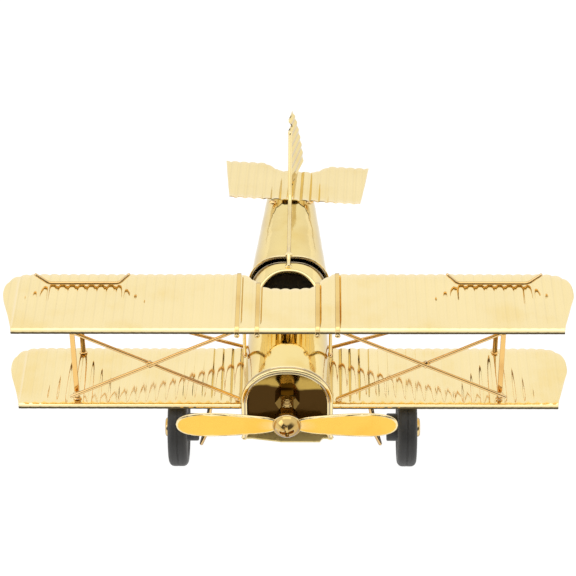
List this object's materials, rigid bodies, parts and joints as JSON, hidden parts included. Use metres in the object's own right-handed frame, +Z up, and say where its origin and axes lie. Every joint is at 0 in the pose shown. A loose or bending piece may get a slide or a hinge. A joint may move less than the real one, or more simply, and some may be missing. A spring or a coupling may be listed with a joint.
{
  "type": "biplane scale model",
  "caption": "Desk-top biplane model in mirror-gold corrugated sheet and wire, with a spinning propeller and rolling rubber wheels.",
  "frame": {"origin": "centre of the bounding box, on the floor the model stands on", "axes": "+X towards the model's left wing as its pilot sits (the right of a viewer facing the nose), -Y towards the nose, +Z up from the floor; the airframe is tipped 13 degrees back on its tail skid"},
  "size_m": [0.272, 0.2042, 0.0904],
  "materials": {
    "sheet_gold": "mirror-polished gold plating on thin iron sheet",
    "wire_gold": "polished gold plating on iron wire",
    "hardware_gold": "polished gold plating on machine-made fasteners",
    "propeller_gold": "deeper gold plating, slightly softer polish",
    "black_rubber": "satin black rubber"
  },
  "bodies": {
    "airframe": {"axle": "wire_gold", "belly_plate": "sheet_gold", "brace_weld_left": "wire_gold", "brace_weld_right": "wire_gold", "cabane_rod_front_left": "wire_gold", "cabane_rod_front_right": "wire_gold", "cabane_rod_rear_left": "wire_gold", "cabane_rod_rear_right": "wire_gold", "fin_and_rudder": "sheet_gold", "front_brace_falling_left": "wire_gold", "front_brace_falling_right": "wire_gold", "front_brace_rising_left": "wire_gold", "front_brace_rising_right": "wire_gold", "front_plate": "sheet_gold", "front_strut_left": "wire_gold", "front_strut_right": "wire_gold", "gear_wire_left": "wire_gold", "gear_wire_right": "wire_gold", "hex_nuts": "hardware_gold", "hub_cap_left": "hardware_gold", "hub_cap_right": "hardware_gold", "lower_wing": "sheet_gold", "nose_ring": "sheet_gold", "nose_screw": "hardware_gold", "nose_shell": "sheet_gold", "propeller_washer": "hardware_gold", "rear_brace_left": "wire_gold", "rear_brace_right": "wire_gold", "rear_bulkhead": "sheet_gold", "rear_ring": "sheet_gold", "rear_strut_left": "wire_gold", "rear_strut_right": "wire_gold", "spine_wire": "wire_gold", "tail_cone": "sheet_gold", "tail_skid": "sheet_gold", "tailplane": "sheet_gold", "upper_wing": "sheet_gold", "wing_strap_left_inner": "sheet_gold", "wing_strap_left_outer": "sheet_gold", "wing_strap_right_inner": "sheet_gold", "wing_strap_right_outer": "sheet_gold", "wing_top_wire_left": "wire_gold", "wing_top_wire_right": "wire_gold"},
    "propeller": {"propeller": "propeller_gold"},
    "wheel_left": {"wheel_left": "black_rubber"},
    "wheel_right": {"wheel_right": "black_rubber"}
  },
  "joints": [
    {"name": "propeller_spin", "type": "hinge", "parent": "airframe", "child": "propeller", "pos_m": [0, -0.09691, 0.07039], "axis": [0, -0.9744, 0.225], "continuous": true},
    {"name": "wheel_left_spin", "type": "hinge", "parent": "airframe", "child": "wheel_left", "pos_m": [-0.0536, -0.061, 0.0192], "axis": [1, 0, 0], "continuous": true},
    {"name": "wheel_right_spin", "type": "hinge", "parent": "airframe", "child": "wheel_right", "pos_m": [0.0576, -0.061, 0.0192], "axis": [1, 0, 0], "continuous": true}
  ]
}
